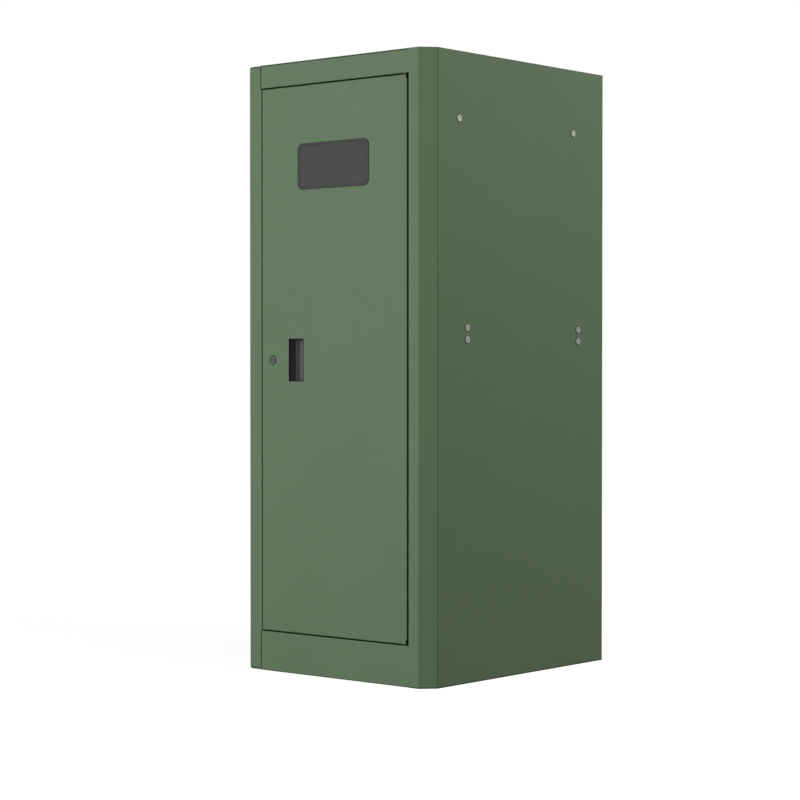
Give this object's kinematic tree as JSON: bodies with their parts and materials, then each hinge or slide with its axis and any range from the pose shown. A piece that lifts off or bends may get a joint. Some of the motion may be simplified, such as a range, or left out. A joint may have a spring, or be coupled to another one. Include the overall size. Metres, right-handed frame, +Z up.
{
  "type": "tool chest side locker",
  "caption": "Tall sheet-steel side locker that bolts to the side of a tool chest, with an inset hinged door, recessed finger pull, cam lock and inner shelves.",
  "frame": {"origin": "on the floor under the middle of the cabinet", "axes": "+Z up, the door faces -Y, +X to the right as seen from the front (hinge side and slanted corner)"},
  "size_m": [0.4336, 0.5237, 1.118],
  "materials": {
    "green_powder_coat": "semi-gloss powder coat",
    "zinc_plated_steel": "bright zinc plate",
    "blackened_steel": "black oxide",
    "bright_plug_steel": "satin nickel",
    "black_cup_plastic": "moulded, fine grain",
    "bush_nylon": "moulded",
    "catch_plastic": "moulded",
    "bumper_rubber": "moulded",
    "lock_zinc": "satin chrome on die-cast zinc"
  },
  "bodies": {
    "cabinet": {"left_side_pan": "green_powder_coat", "right_side_panel": "green_powder_coat", "header_rail": "green_powder_coat", "kick_rail": "green_powder_coat", "top_panel": "green_powder_coat", "back_panel": "green_powder_coat", "floor_panel": "green_powder_coat", "left_front_shelf_post": "green_powder_coat", "left_rear_shelf_post": "green_powder_coat", "right_front_shelf_post": "green_powder_coat", "right_rear_shelf_post": "green_powder_coat", "lower_shelf": "green_powder_coat", "middle_shelf": "green_powder_coat", "upper_shelf": "green_powder_coat", "lower_shelf_clips": "zinc_plated_steel", "middle_shelf_clips": "zinc_plated_steel", "upper_shelf_clips": "zinc_plated_steel", "wall_plugs": "bright_plug_steel", "upper_pivot_pin": "blackened_steel", "lower_pivot_pin": "blackened_steel", "upper_pivot_plate": "zinc_plated_steel", "lower_pivot_plate": "zinc_plated_steel", "magnetic_catch": "catch_plastic", "door_stop": "green_powder_coat", "door_bumper": "bumper_rubber"},
    "door": {"door_pan": "green_powder_coat", "door_stiffener": "green_powder_coat", "pull_cup": "black_cup_plastic", "upper_pivot_bush": "bush_nylon", "lower_pivot_bush": "bush_nylon", "catch_strike": "zinc_plated_steel", "lock_housing": "lock_zinc", "lock_nut": "zinc_plated_steel"},
    "lock": {"lock_plug": "lock_zinc", "lock_cam": "zinc_plated_steel", "cam_screw": "zinc_plated_steel"}
  },
  "joints": [
    {"name": "door_hinge", "type": "hinge", "parent": "cabinet", "child": "door", "pos_m": [0.15675, -0.25475, 0.5742], "axis": [0, 0, 1], "range_deg": [0, 110]},
    {"name": "lock_turn", "type": "hinge", "parent": "door", "child": "lock", "pos_m": [-0.1572, -0.25, 0.5742], "axis": [0, 1, 0], "range_deg": [0, 90]}
  ]
}
